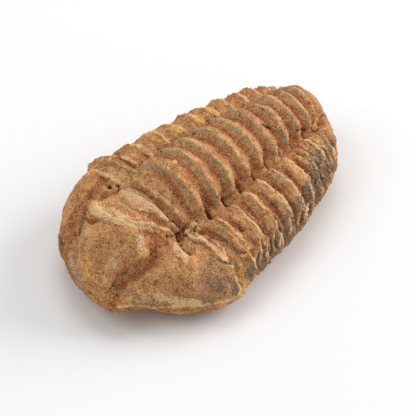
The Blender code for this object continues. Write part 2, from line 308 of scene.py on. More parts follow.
@dataclass(frozen=True)
class Body:
    """The plain body: closed sections from the front tip to the tail.

    Places 1 to 11 are the crests of the thorax rings, 0 is the line between head and thorax, and the tail
    shield begins after place 11. A section is an arched axis lobe, a furrow on each side of it, two side
    regions that roll down to the edge, and a belly.
    """

    fields: tuple[str, ...] = (
        "place", "y", "left", "right", "edge_z", "furrow_z", "crest_z", "axis", "centre", "belly_z",
    )
    sections: tuple[tuple[float, ...], ...] = (
        (-9.0, -41.1, 2.7, -2.3, 6.4, 6.4, 6.4, 5.0, 2.5, 6.4),
        (-8.0, -40.3, 7.2, 2.1, 6.3, 7.6, 8.8, 6.2, 1.2, 4.5),
        (-7.0, -38.6, 8.7, 6.7, 6.3, 9.0, 11.8, 7.6, -0.2, 3.2),
        (-6.0, -36.5, 9.2, 10.7, 6.3, 10.2, 14.5, 8.4, -0.8, 2.5),
        (-5.0, -34.1, 11.3, 13.3, 6.0, 11.5, 16.6, 8.8, -1.1, 1.7),
        (-4.0, -31.5, 14.6, 15.0, 5.6, 12.7, 18.1, 8.8, -1.2, 0.9),
        (-3.0, -28.8, 17.3, 16.9, 5.2, 13.4, 18.7, 8.5, -1.0, 0.0),
        (-2.0, -26.2, 19.0, 18.6, 5.1, 13.7, 18.5, 8.1, -0.7, -0.2),
        (-1.0, -24.3, 20.4, 19.5, 5.0, 13.7, 18.0, 7.9, -0.4, -0.35),
        (0.0, -22.6, 20.9, 19.4, 5.0, 13.8, 17.8, 8.0, -0.1, -0.4),
        (1.0, -17.3, 19.6, 20.0, 5.0, 14.7, 22.2, 8.5, 0.0, -0.4),
        (2.0, -12.8, 18.6, 19.4, 5.0, 15.0, 22.0, 8.6, 0.0, -0.4),
        (3.0, -8.3, 17.8, 18.8, 5.0, 15.2, 21.2, 8.4, 0.0, -0.4),
        (4.0, -3.9, 17.3, 17.9, 5.0, 15.2, 21.0, 8.0, 0.0, -0.4),
        (5.0, 0.3, 16.3, 17.4, 5.0, 15.0, 20.7, 7.6, 0.0, -0.35),
        (6.0, 4.4, 14.9, 16.5, 5.0, 14.7, 20.2, 7.2, 0.0, -0.3),
        (7.0, 8.4, 13.4, 15.5, 5.0, 14.3, 19.5, 6.7, -0.1, -0.2),
        (8.0, 12.2, 11.9, 14.6, 5.0, 13.7, 18.6, 6.3, -0.3, 0.0),
        (9.0, 15.6, 10.0, 13.6, 5.0, 13.0, 17.6, 5.9, -0.5, 0.4),
        (10.0, 18.4, 7.6, 12.3, 5.0, 12.2, 16.6, 5.7, -0.7, 0.8),
        (11.0, 20.7, 5.0, 10.5, 5.0, 11.2, 15.3, 5.2, -0.9, 1.3),
        (12.0, 22.6, 3.0, 8.5, 5.0, 9.7, 13.3, 4.6, -1.2, 2.0),
        (13.0, 24.1, 1.4, 6.2, 5.0, 8.1, 10.6, 3.9, -1.5, 2.8),
        (14.0, 25.2, 0.2, 4.1, 5.0, 6.5, 7.7, 3.1, -1.7, 3.8),
        (15.0, 25.8, -1.8, 1.8, 5.0, 5.0, 5.0, 2.4, -1.8, 5.0),
    )
    sweep: tuple[Triple, ...] = (
        (-9.0, 0.0, 0.0), (-5.0, 0.0, 0.0), (0.0, 0.6, 0.0), (1.0, 1.0, -1.2), (3.0, 1.6, 0.4),
        (6.0, 1.8, 1.4), (9.0, 1.8, 1.8), (12.0, 0.8, 0.8), (15.0, 0.0, 0.0),
    )
    axis_roundness: float = 0.72
    left_squareness: float = 2.2
    right_squareness: float = 2.7
    belly_squareness: float = 2.5
    axis_share_at_tips: float = 0.62
    thinnest_axis: float = 0.1
    belly_lobe_share: float = 9.0
    row_weights: tuple[tuple[str, float], ...] = (("y", 1.0), ("crest_z", 0.5), ("left", 0.4))
    fine_places: int = 4000
    origin_x: float = 0.182
    origin_y: float = -7.629

    def size(self, name: str, places: Array) -> Array:
        """One of a section's sizes at any places."""
        table = np.array(self.sections)
        return smooth_curve(table[:, 0], table[:, self.fields.index(name)], places, flat_ends=(name == "y"))

    def sweep_of(self, side: Side, places: Array) -> Array:
        """How far the edge lies behind the section's middle.

        Args:
            side: side of the animal.
            places: places of the sections.

        Returns:
            The distance for each place.
        """
        table = np.array(self.sweep)
        column = 1 if side is Side.LEFT else 2
        return smooth_curve(table[:, 0], table[:, column], places, flat_ends=True)

    def rows(self, count: int) -> Array:
        """Places of the grid's rows, evenly far apart on the stone.

        Args:
            count: number of rows.

        Returns:
            The places, between the two tips.
        """
        fine = np.linspace(self.sections[0][0], self.sections[-1][0], self.fine_places)
        squares = [weight * np.gradient(self.size(name, fine)) ** 2 for name, weight in self.row_weights]
        travelled = np.cumsum(np.sqrt(sum(squares)))
        stops = np.linspace(travelled[0], travelled[-1], count + 2)[1:-1]
        return np.interp(stops, travelled, fine)

    def skin(self, places: Array, counts: tuple[tuple[Zone, int], ...]) -> Skin:
        """The plain body's grid.

        Args:
            places: places of the rows.
            counts: columns of each zone, in the order of the zones.

        Returns:
            The grid. Its columns run from the middle of the back over the left side to the middle of the
            belly, and back up the right side.
        """
        zones = [(zone, k / count) for zone, count in counts for k in range(count)]
        columns = [(Side.LEFT, zone, share) for zone, share in zones] + [(Side.LEFT, Zone.BELLY, 1.0)]
        columns += [(Side.RIGHT, zone, share) for zone, share in reversed(zones[1:])]
        points = np.zeros((len(places), len(columns), 3))
        lobe = np.zeros(points.shape[:2])
        share_down = np.zeros(points.shape[:2])
        centre, middle_y = self.size("centre", places), self.size("y", places)
        furrow, crest = self.size("furrow_z", places), self.size("crest_z", places)
        edge, belly = self.size("edge_z", places), self.size("belly_z", places)
        half_width = {Side.LEFT: self.size("left", places), Side.RIGHT: self.size("right", places)}
        squareness = {Side.LEFT: self.left_squareness, Side.RIGHT: self.right_squareness}
        swept = {side: self.sweep_of(side, places) for side in Side}
        for number, (side, zone, share) in enumerate(columns):
            reach = half_width[side] - side.value * centre
            axis = np.minimum(self.size("axis", places), self.axis_share_at_tips * reach)
            sine = math.sin(share * math.pi / 2)
            cosine = max(math.cos(share * math.pi / 2), 0.0)
            if zone is Zone.AXIS:
                out = axis * sine
                height = furrow + (crest - furrow) * cosine ** (2 * self.axis_roundness)
                behind = 0.0
                lobe[:, number] = sine
            elif zone is Zone.SIDE:
                power = 2 / squareness[side]
                out = axis + (reach - axis) * sine**power
                height = edge + (furrow - edge) * cosine**power
                behind = sine
                lobe[:, number] = out / np.maximum(axis, self.thinnest_axis)
                share_down[:, number] = share
            else:
                power = 2 / self.belly_squareness
                out = reach * cosine**power
                height = edge - (edge - belly) * sine**power
                behind = 1.0
                lobe[:, number] = self.belly_lobe_share
                share_down[:, number] = 1.0 + share
            points[:, number, 0] = centre + side.value * out
            points[:, number, 1] = middle_y + swept[side] * behind
            points[:, number, 2] = height
        place = np.repeat(places[:, None], len(columns), axis=1)
        return Skin(points, place, lobe, share_down)


@dataclass(frozen=True)
class Segments:
    """Rings of the axis, pleurae of the sides, and the furrow with its pits between them.

    A span is where a form starts and where it is full. Ends are where it starts, where it is first and last
    full, and where it ends. Both are places, or shares of the axis lobe's half width. A neck wave has a
    place, a half length and a height.
    """

    ring_profile: Line = (
        (0.0, 0.0), (0.08, 0.1), (0.17, 0.45), (0.26, 0.85), (0.34, 1.0), (0.46, 0.97), (0.58, 0.82),
        (0.72, 0.52), (0.86, 0.18), (1.0, 0.0),
    )
    pleura_profile: Line = (
        (0.0, 0.97), (0.07, 0.76), (0.16, 0.22), (0.24, 0.03), (0.38, 0.22), (0.55, 0.6), (0.72, 0.92),
        (0.85, 1.0), (1.0, 0.97),
    )
    ring_height: float = 1.3
    ring_groove: float = 0.54
    pleura_height: float = 1.3
    pleura_lag: float = 0.36
    pleura_catch_up: float = 0.055
    right_side_wear: float = 0.45
    furrow_middle: float = 1.04
    furrow_half_width: float = 0.13
    furrow_ends: Ends = (-8.0, -6.0, 11.5, 13.5)
    furrow_depth: float = 0.7
    pit_depth: float = 1.1
    pit_length: float = 0.12
    pit_share: float = 0.3
    thorax_ends: Ends = (-0.1, 0.25, 9.0, 13.5)
    rings_start: Span = (0.4, 0.8)
    axis_span: Span = (1.08, 0.92)
    side_span: Span = (1.0, 1.25)
    neck_span: Span = (1.0, 0.7)
    neck_waves: tuple[Triple, ...] = (
        (-0.95, 0.5, 0.6), (-0.1, 0.28, -0.54), (-2.0, 0.35, -0.36), (0.22, 0.16, 0.35),
    )

    @staticmethod
    def profile_height(profile: Line, share: Array) -> Array:
        """Height of a profile, from 0 to 1, at a share of the segment."""
        shares, heights = np.array(profile).T
        return smooth_curve(shares, heights, share, flat_ends=True)

    def parts(self, skin: Skin) -> dict[str, Array]:
        """Where rings, pleurae and furrow are.

        Args:
            skin: the plain body's grid.

        Returns:
            Shares and weights by name.
        """
        thorax = shelf(skin.place, *self.thorax_ends)
        ringed = blend_step(skin.place, *self.rings_start) * thorax
        return {
            "ringed": ringed,
            "on_axis": blend_step(skin.lobe_share, *self.axis_span) * ringed,
            "on_side": blend_step(skin.lobe_share, *self.side_span) * thorax,
            "ring": np.mod(skin.place, 1.0),
            "pleura": np.mod(skin.place * (1 + self.pleura_catch_up) - self.pleura_lag, 1.0),
            "furrow": bell(skin.lobe_share, self.furrow_middle, self.furrow_half_width),
        }

    def height(self, skin: Skin) -> Array:
        """Relief of the segments.

        Args:
            skin: the plain body's grid.

        Returns:
            Height over the plain body.
        """
        part = self.parts(skin)
        place = skin.place
        ring_share = np.mod(place - self.ring_groove, 1.0)
        rings = self.ring_height * (self.profile_height(self.ring_profile, ring_share) - 0.5)
        wear = np.where(skin.points[..., 0] < 0, self.right_side_wear, 1.0)
        pleurae = self.profile_height(self.pleura_profile, part["pleura"]) - 0.5
        height = rings * part["on_axis"] + self.pleura_height * wear * pleurae * part["on_side"]
        height = height - self.furrow_depth * part["furrow"] * shelf(place, *self.furrow_ends)
        pit = bell(part["ring"], self.pit_share, self.pit_length)
        height = height - self.pit_depth * part["furrow"] * pit * part["ringed"]
        neck = sum(rise * bell(place, middle, half_length) for middle, half_length, rise in self.neck_waves)
        return height + neck * blend_step(skin.lobe_share, *self.neck_span)


@dataclass(frozen=True)
class HeadForms:
    """Lobes, furrows and the ledge of the head, seen from above, which don't follow the segments.

    A lump has a place, half widths across and along, and a height. A line has points, a half width and a
    height. A long wave is the product of two sines, each with its radians per millimetre along x, y and z,
    and its start.
    """

    lumps: tuple[tuple[float, float, float, float, float], ...] = (
        (-7.5, -31.7, 1.8, 2.0, 1.3),
        (6.2, -31.8, 2.1, 2.2, 1.2),
        (-15.2, -27.0, 2.6, 5.5, 0.8),
        (13.5, -27.5, 3.8, 4.8, 0.7),
        (9.2, -20.6, 1.6, 1.0, 0.6),
        (7.9, -22.9, 0.9, 1.5, -1.0),
        (-9.9, -24.3, 0.9, 0.9, -0.8),
        (-8.3, -23.0, 0.9, 0.9, -0.7),
        (16.0, -13.9, 1.8, 1.3, 0.5),
    )
    lines: tuple[tuple[Line, float, float], ...] = (
        (((8.6, -21.6), (11.0, -19.5), (15.0, -18.2), (18.0, -16.8), (20.5, -15.8)), 0.8, -0.8),
        (((-9.5, -16.4), (-12.5, -17.2), (-16.0, -18.2), (-19.5, -18.8)), 1.2, 0.9),
        (((5.6, -29.0), (8.0, -32.0), (7.4, -34.7), (6.9, -37.0), (6.6, -39.8)), 1.6, -1.2),
        (((-10.4, -25.0), (-11.4, -28.0), (-11.6, -31.0), (-10.9, -33.8), (-10.3, -36.0)), 1.3, -1.3),
    )
    ledge: Line = (
        (-9.0, -29.6), (-5.0, -31.2), (-1.3, -31.4), (2.0, -28.6), (5.0, -25.8), (7.0, -24.5),
        (11.5, -24.7),
    )
    ledge_height: float = 0.5
    ledge_fall: Ends = (-0.2, 0.5, 0.5, 7.0)
    ledge_ends: Ends = (-10.5, -8.0, 10.0, 12.0)
    waves: tuple[tuple[tuple[float, ...], ...], ...] = (
        ((0.52, 0.31, 0.0, 1.1), (0.0, 0.44, -0.37, 0.4)),
        ((0.83, 0.0, -0.57, 2.3), (0.35, 0.71, 0.0, 5.0)),
    )
    unevenness: float = 0.16

    def height(self, skin: Skin) -> Array:
        """Relief of the head's forms.

        Args:
            skin: the plain body's grid.

        Returns:
            Height over the plain body.
        """
        x = skin.points[..., 0]
        y = skin.points[..., 1]
        height = np.zeros(x.shape)
        for lump_x, lump_y, across, along, lump_height in self.lumps:
            height = height + lump_height * bell(x, lump_x, across) * bell(y, lump_y, along)
        for line, half_width, line_height in self.lines:
            height = height + line_height * bell(distance_to_line(x, y, line), 0.0, half_width)
        ledge_x, ledge_y = zip(*self.ledge)
        ahead = np.interp(x, ledge_x, ledge_y) - y
        return height + self.ledge_height * shelf(ahead, *self.ledge_fall) * shelf(x, *self.ledge_ends)

    def long_waves(self, skin: Skin) -> Array:
        """Long, low waves over the whole stone.

        Args:
            skin: the plain body's grid.

        Returns:
            Height over the plain body.
        """
        height = np.zeros(skin.place.shape)
        for pair in self.waves:
            wave = np.ones(height.shape)
            for along_x, along_y, along_z, start in pair:
                wave = wave * np.sin(skin.points @ np.array((along_x, along_y, along_z)) + start)
            height = height + wave
        return self.unevenness * height


@dataclass(frozen=True)
class Mark:
    """A line or a spot on the stone. Most are stains, crust, cracks and small forms; some are painted shade
    and painted highlights.

    Its points and half width are in pixels of the photograph and its rise is in millimetres. Its strength
    is that of the paint, from 0 to 1.
    """

    tint: Tint
    half_width: float
    rise: float
    strength: float
    line: Line


def pen(tint: Tint) -> Callable[..., Mark]:
    """A maker of marks in one tint, from half width, rise, strength and points."""
    return lambda half_width, rise, strength, *line: Mark(tint, half_width, rise, strength, line)


rust, dark, pale = pen(Tint.RUST), pen(Tint.DARK), pen(Tint.PALE)
ochre, soot, chalk = pen(Tint.OCHRE), pen(Tint.SOOT), pen(Tint.CHALK)

HEAD_MARKS: tuple[Mark, ...] = (
    # groove inside the far cheek's roll; its dark lines are painted shade, darkest along the glabella
    rust(8.0, -0.1, 0.75, (62, 262), (65, 240), (72, 224), (82, 208)),
    rust(6.0, -0.2, 0.95, (91, 195), (96, 188), (102, 181)),
    dark(4.0, 0.0, 0.35, (92, 193), (98, 185)),
    dark(2.8, -0.35, 0.3, (90, 198), (86, 204), (84.5, 210), (84, 216), (80, 223), (79, 227), (76, 233)),
    dark(2.6, -0.1, 0.3, (76, 233), (72, 244), (69, 256)),
    rust(2.4, -0.7, 0.9, (86, 220), (91, 222), (97, 219)),
    dark(1.6, -0.15, 0.35, (80, 226), (78, 232), (76, 240)),
    pale(5.5, 0.35, 0.4, (92.5, 205), (93, 211)),
    # pits at the far end of the neck ring, painted dark as the shade inside them, and the crust between
    # them
    dark(2.1, -1.0, 1.0, (109, 186.5)),
    dark(1.6, -0.8, 1.0, (118.5, 186)),
    ochre(1.7, 0.35, 0.85, (104, 190), (112, 191), (119, 189)),
    pale(1.8, 0.3, 0.7, (114, 187)),
    dark(1.1, -0.3, 0.8, (116, 193), (119, 190)),
    dark(2.6, -0.2, 0.55, (104, 180), (109, 179)),
    # hind border of the far cheek
    pale(1.3, 0.25, 0.85, (110, 159), (119, 164), (128, 169), (138, 172)),
    rust(2.0, -0.35, 0.9, (112, 152), (120, 157), (128, 163), (135, 168), (143, 163)),
    dark(1.0, -0.2, 0.55, (114, 153), (122, 158), (130, 165)),
    pale(1.3, 0.15, 0.75, (88, 175), (95, 167), (100, 161), (104, 158)),
    pale(8.0, 0.0, 0.42, (104, 170), (117, 173), (130, 179)),
    ochre(2.0, 0.35, 0.9, (142, 172), (150, 172)),
    dark(0.9, -0.4, 0.8, (144, 154), (148, 158)),
    dark(1.3, -0.2, 0.6, (104, 156), (112, 152)),
    # neck ring and the lines round it; the dark line is painted shade in the neck furrow
    pale(6.5, 0.1, 0.95, (126, 191), (137, 197), (148, 204)),
    pale(3.4, 0.15, 0.95, (148, 204), (158, 210), (168, 218)),
    dark(1.0, -0.4, 0.65, (124, 187.5), (133, 188), (139, 190), (146, 195), (153, 201), (160, 208),
         (165, 214), (172, 220), (179, 228)),
    # half ring between the neck and the first thorax ring, and the groove behind it
    pale(3.2, 0.4, 0.0, (134, 176), (143, 182), (151, 190), (160, 197), (170, 206), (178, 214), (183, 221)),
    chalk(1.6, 0.15, 0.45, (137, 181), (146, 187), (152, 190), (160, 196), (168, 203), (176, 210)),
    rust(4.0, -0.25, 0.6, (156, 172), (167, 178.6), (177, 193), (187, 210), (192, 222)),
    chalk(2.4, 0.25, 0.3, (160, 166), (172, 172), (184, 183), (194, 195), (201, 207), (205, 216)),
    rust(3.0, -0.2, 0.85, (187, 177), (195, 184), (203, 195), (208, 205)),
    rust(5.0, -0.25, 0.6, (150, 217), (160, 222), (172, 229)),
    dark(2.0, -0.3, 0.45, (122, 200), (132, 207), (142, 213)),
    pale(1.3, 0.3, 0.8, (140, 209), (150, 212)),
    pale(1.2, 0.35, 0.85, (160, 217), (167, 221)),
    pale(1.2, 0.35, 0.85, (170, 223.5), (175, 227)),
    # ledge over the glabella: its pale top and bright edge are painted highlights, and the rust and dark
    # lines in front of and under the edge are painted shade
    pale(7.5, 0.1, 0.85, (100, 212), (111, 214), (123, 220)),
    pale(1.5, 0.35, 0.95, (127, 219), (133, 222), (140, 224), (150, 223), (155, 226), (160, 228),
         (168, 230), (172, 234), (175, 238), (176, 241)),
    pale(4.8, 0.1, 0.75, (132, 223), (150, 227)),
    rust(4.5, -0.15, 0.75, (142, 232), (155, 235), (166, 243)),
    dark(1.4, -0.15, 0.3, (98, 221), (112, 225), (124, 230)),
    dark(1.9, -0.5, 0.75, (168, 237)),
    # slit and hole behind the near cheek, painted dark as the shade inside them, and the star of crust
    # beside them
    dark(1.8, -0.7, 0.7, (176.5, 239), (182, 246), (186, 250), (190, 254)),
    rust(2.8, 0.7, 0.8, (180, 232), (183, 236), (188, 242), (194, 249)),
    pale(3.6, 0.3, 0.85, (175, 246), (180, 253), (185, 260)),
    pale(3.2, 0.5, 0.3, (173, 226), (178, 231), (180, 236)),
    dark(1.3, -0.4, 0.8, (177.5, 231)),
    pale(2.1, 1.0, 1.0, (181, 231), (188, 232), (193, 239), (200, 240)),
    pale(1.5, 0.9, 1.0, (188, 233), (190, 228), (192.5, 221)),
    pale(1.1, 0.6, 0.95, (192, 223), (199, 230)),
    dark(1.5, -0.9, 0.95, (194.5, 230)),
    dark(1.3, -0.6, 0.8, (192.5, 235)),
    dark(1.0, -0.3, 0.5, (202, 244), (207, 248), (214, 253)),
    dark(1.6, -0.4, 0.9, (209, 217.5)),
    ochre(2.4, 0.5, 0.7, (213, 214.5)),
    # patches of the glabella
    ochre(2.2, 0.15, 1.0, (101, 231)),
    ochre(2.8, 0.15, 1.0, (107.5, 236.5)),
    ochre(2.4, 0.15, 0.9, (106, 245)),
    chalk(3.4, 0.2, 0.8, (112, 260), (114, 265)),
    chalk(4.6, 0.15, 0.62, (139, 238), (141, 245)),
    ochre(6.0, 0.3, 0.6, (140, 250), (146, 257)),
    pale(4.0, 0.1, 0.5, (138, 258), (147, 252)),
    # painted shade in the furrow at the glabella's side
    rust(4.0, -0.1, 0.85, (154, 237), (156, 247)),
    ochre(7.0, 0.0, 0.48, (84, 258), (90, 274)),
    ochre(5.0, 0.1, 0.62, (90, 232)),
    chalk(5.5, 0.0, 0.55, (71, 254), (74, 267), (82, 281)),
    ochre(8.0, 0.0, 0.38, (100, 279), (114, 288)),
    rust(10.0, 0.0, 0.42, (118, 272), (106, 256)),
    # furrow between the glabella and the near cheek; its rust and dark lines are painted shade
    rust(5.0, 0.0, 0.85, (152, 246), (153, 256), (148, 268), (136, 277), (124, 284), (116, 296),
         (110, 308)),
    dark(2.8, -0.1, 0.3, (153, 252), (151, 261), (145, 269), (134, 278)),
    dark(3.0, -0.2, 0.3, (130, 280), (122, 285), (116, 294)),
    # front rim and lower lip
    dark(1.3, -0.3, 0.45, (60, 238), (61, 258), (70, 273), (86, 289), (100, 304)),
    pale(1.4, 0.25, 0.65, (118, 307), (136, 305), (160, 308), (180, 306), (205, 305), (228, 300),
         (237, 295)),
    rust(1.2, -0.3, 0.6, (124, 309), (150, 309), (180, 311), (214, 308)),
    # near cheek
    pale(4.8, 0.1, 0.75, (156, 296), (174, 301), (196, 302)),
    chalk(5.0, 0.0, 0.45, (123, 293), (140, 298), (156, 301)),
    ochre(3.0, 0.1, 0.5, (128, 300), (140, 291), (160, 293)),
    ochre(4.5, 0.1, 0.42, (172, 262), (178, 272)),
    soot(12.0, 0.0, 0.5, (210, 266), (216, 280)),
    soot(18.0, 0.0, 0.36, (168, 278), (205, 288)),
    soot(7.0, 0.0, 0.42, (236, 262), (224, 290)),
    ochre(3.2, 0.2, 0.7, (241, 272), (243, 284), (238, 296)),
    pale(3.0, 0.0, 0.5, (241, 272), (243, 284), (238, 296)),
    pale(1.2, 0.25, 0.65, (196, 234), (210, 246), (224, 260), (232, 268)),
    dark(1.0, -0.3, 0.6, (214, 255), (222, 262), (228, 267)),
)

NEAR_PLEURA_CRESTS: tuple[Line, ...] = (
    ((216.8, 219.5), (227.7, 223.2), (236.8, 231.4), (245, 240.5), (248.6, 247.7)),
    ((225.9, 204.1), (235, 206.8), (245, 212.3), (253.2, 218.6)),
    ((245.9, 219.5), (252.3, 222.3), (258.6, 229.5), (263.2, 235.9)),
    ((241.4, 191.8), (248.6, 194.1), (255.9, 199.5), (261.4, 206.8), (268.6, 209.5), (274.1, 215),
     (278.6, 221.4), (281.4, 228.6), (280.9, 235)),
    ((255.5, 180), (263.2, 183.2), (273.2, 189.5), (282.3, 196.8), (288.6, 204.1), (291.4, 210.5),
     (292.3, 216.8)),
    ((267.3, 168.6), (272.3, 170.5), (282.3, 175), (291.4, 183.2), (297.7, 191.4), (302.3, 198.6),
     (304.1, 205)),
    ((280, 157.3), (284.1, 158.8), (292.3, 163.2), (298.6, 168.6), (305, 173.2), (308.6, 177.7),
     (310.9, 184.1), (312.1, 193.2), (312.3, 198.6)),
    ((301.4, 153.2), (309.5, 155.9), (314.1, 162.3), (315.9, 169.5)),
    ((305, 140.5), (312.3, 144.1), (318.6, 145.9), (322.3, 152.3), (325, 160.5)),
    ((321.4, 135), (327.7, 140.5), (332.3, 149.5), (335, 158.6)),
)

NEAR_PLEURA_TWINS: tuple[Line, ...] = (
    ((259.5, 222.3), (263.2, 227.7), (265.9, 233.2)),
    ((275.5, 221), (277.8, 229), (277, 236)),
    ((285, 203), (288.4, 211), (289, 219)),
    ((292.3, 185.9), (297.7, 193.2), (300.5, 202.3)),
    ((301.4, 171.4), (306.8, 177.7), (309.5, 185.9), (310.9, 194.1)),
)

NEAR_PLEURA_FURROWS: tuple[Line, ...] = (
    ((205, 229.5), (215.9, 235.9), (226.8, 242.3), (235, 249.5), (241.4, 254.1), (247.7, 252.3)),
    ((235, 224.1), (243.2, 231.4), (248.6, 237.7), (254.1, 244.1)),
    ((244.1, 204.1), (252.3, 215), (261.4, 222.3), (268.6, 233.2)),
    ((261.4, 194.1), (267.7, 200.5), (275, 206.8), (280.5, 215), (283.2, 222.3)),
    ((272.3, 185.9), (281.4, 191.4), (287.7, 198.6), (292.3, 206.8), (294.5, 214.1)),
    ((285, 171.4), (292.3, 178.6), (299.5, 187.7), (305, 197.7), (305.9, 203.2)),
    ((295.9, 161.4), (305, 170.5), (311.4, 176.8), (313.2, 184.1)),
)

EDGE_LAYERS: tuple[Line, ...] = (
    ((255.9, 253.2), (253.2, 262.3), (255.9, 267.7)),
    ((259.5, 242.3), (261.4, 251.4), (259.5, 262.3)),
    ((267.7, 237.7), (268.6, 247.7), (266.8, 255.9)),
    ((273.2, 230.5), (272.3, 242.3), (274.1, 249.5)),
    ((280.5, 237.7), (279.5, 246.8)),
    ((289.5, 216.8), (291.4, 225.9), (288.6, 233.2)),
    ((300, 212), (297, 224)),
    ((308, 204), (304, 216)),
)

THORAX_MARKS: tuple[Mark, ...] = (
    # rounded end of the first near pleura
    pale(1.2, 0.3, 0.7, (248.6, 248.6), (245, 255), (239.5, 255)),
    pale(1.3, 0.25, 0.7, (205, 236), (215.9, 242.3), (223.2, 249.5), (226.8, 260.5), (232.3, 266)),
    dark(1.5, -0.8, 0.9, (226, 262), (230, 264)),
    dark(0.9, -0.4, 0.7, (260, 226), (264, 233)),
    # cracks and crust on the rings
    dark(0.9, -0.5, 0.9, (261, 109), (270, 116)),
    dark(0.9, -0.4, 0.8, (263, 124), (270, 128)),
    ochre(2.8, 0.4, 0.9, (174.5, 162.7)),
    # two pale spots on the rings are painted highlights
    chalk(2.4, 0.0, 0.9, (200, 147.6)),
    chalk(2.6, 0.0, 0.9, (242.5, 134.5)),
    pale(1.1, 0.4, 0.9, (289.5, 143.2), (294.1, 148.6)),
    ochre(3.2, 0.0, 0.8, (300.5, 156.8)),
    # ochre behind the far pleurae's ridges, and painted shade in the nooks by the far furrow
    ochre(2.4, 0.0, 0.9, (149, 135), (158, 140)),
    ochre(2.4, 0.0, 0.9, (173, 127), (180, 131)),
    ochre(2.6, 0.0, 0.9, (196, 117), (203, 121)),
    ochre(2.6, 0.0, 0.9, (207, 108), (214, 111)),
    dark(1.3, -0.5, 0.9, (158, 149), (161, 153)),
    dark(1.3, -0.4, 0.8, (176, 140), (179, 143)),
    dark(1.3, -0.4, 0.8, (191, 132), (194, 134)),
    dark(1.3, -0.5, 0.9, (206, 119.5), (209, 122.5)),
    # grey, lined tail
    dark(1.2, -0.35, 0.6, (297, 131), (308, 130), (317, 133), (328, 140), (335, 149), (337, 160)),
    dark(1.1, -0.3, 0.6, (307, 142), (315, 148), (322, 155), (327, 166)),
    dark(1.2, -0.35, 0.6, (297, 153), (306, 157), (313, 163), (318, 178), (313, 190)),
    pale(1.0, 0.3, 0.7, (310, 138), (320, 143), (328, 152), (332, 164)),
    pale(1.0, 0.3, 0.6, (300, 146), (312, 152), (320, 164), (322, 176)),
    soot(12.0, 0.0, 0.8, (318, 158), (322, 172), (312, 188)),
    soot(7.0, 0.0, 0.6, (328, 146), (333, 165)),
    soot(9.0, 0.0, 0.6, (300, 200), (288, 222), (268, 248)),
    soot(6.0, 0.0, 0.55, (248, 276), (274, 252), (300, 226), (320, 196)),
)

LAYER_GAP: Point = (3.2, 0.96)
# gaps between the edge layers, painted dark as shade
EDGE_GAPS: tuple[Line, ...] = tuple(
    tuple((x + LAYER_GAP[0], y + LAYER_GAP[1]) for x, y in line) for line in EDGE_LAYERS
)

# lines, tint, half width, rise and strength
FINE_LINES: tuple[tuple[tuple[Line, ...], Tint, float, float, float], ...] = (
    (NEAR_PLEURA_CRESTS, Tint.PALE, 1.0, 0.3, 0.75),
    (NEAR_PLEURA_TWINS, Tint.PALE, 0.8, 0.2, 0.5),
    (NEAR_PLEURA_FURROWS, Tint.RUST, 3.0, -0.2, 0.85),
    # painted shade in the pleural furrows
    (NEAR_PLEURA_FURROWS, Tint.DARK, 1.1, -0.1, 0.35),
    (EDGE_LAYERS, Tint.PALE, 1.2, 0.3, 0.8),
    # painted shade in the gaps between the edge layers
    (EDGE_GAPS, Tint.DARK, 1.2, -0.4, 0.6),
)
FINE_MARKS: tuple[Mark, ...] = tuple(Mark(*look, line) for lines, *look in FINE_LINES for line in lines)


@dataclass(frozen=True)
class Marks:
    """Everything that was placed on the side that the photograph shows.

    A mark's paint is full up to the inner share of its half width and gone at the outer share. Its edge is
    ragged, more so the wider it is.
    """

    view: PhotoView
    marks: tuple[Mark, ...] = HEAD_MARKS + THORAX_MARKS + FINE_MARKS
    sway: float = 0.5
    sway_size: float = 1.1
    ragged: float = 0.96
    ragged_growth: float = 0.16
    ragged_size: float = 1.2
    inner: float = 0.45
    outer: float = 1.35
    facing: Span = (-0.05, 0.15)

    def apply(self, skin: Skin, noise: StoneNoise) -> Array:
        """Paint the masks.

        Args:
            skin: the grid, already in the part's frame.
            noise: sways the lines and breaks up their edges.

        Returns:
            Height of the marks over the skin.
        """
        x, y = self.view.pixels(skin.points)
        x = x + self.sway * noise.at(skin.points, self.sway_size)
        y = y + self.sway * noise.at(skin.points, self.sway_size, shift=40.0)
        rough = noise.layers(skin.points, self.ragged_size, 2, keep=0.7, shift=80.0)
        facing = blend_step(skin.normals() @ self.view.axes()[2], *self.facing)
        height = np.zeros(skin.place.shape)
        for mark in self.marks:
            distance = distance_to_line(x, y, mark.line)
            height = height + mark.rise * bell(distance, 0.0, mark.half_width) * facing
            edge = distance + (self.ragged + self.ragged_growth * mark.half_width) * rough
            amount = blend_step(edge, self.outer * mark.half_width, self.inner * mark.half_width)
            skin.paint(mark.tint, mark.strength * amount * facing)
        return height


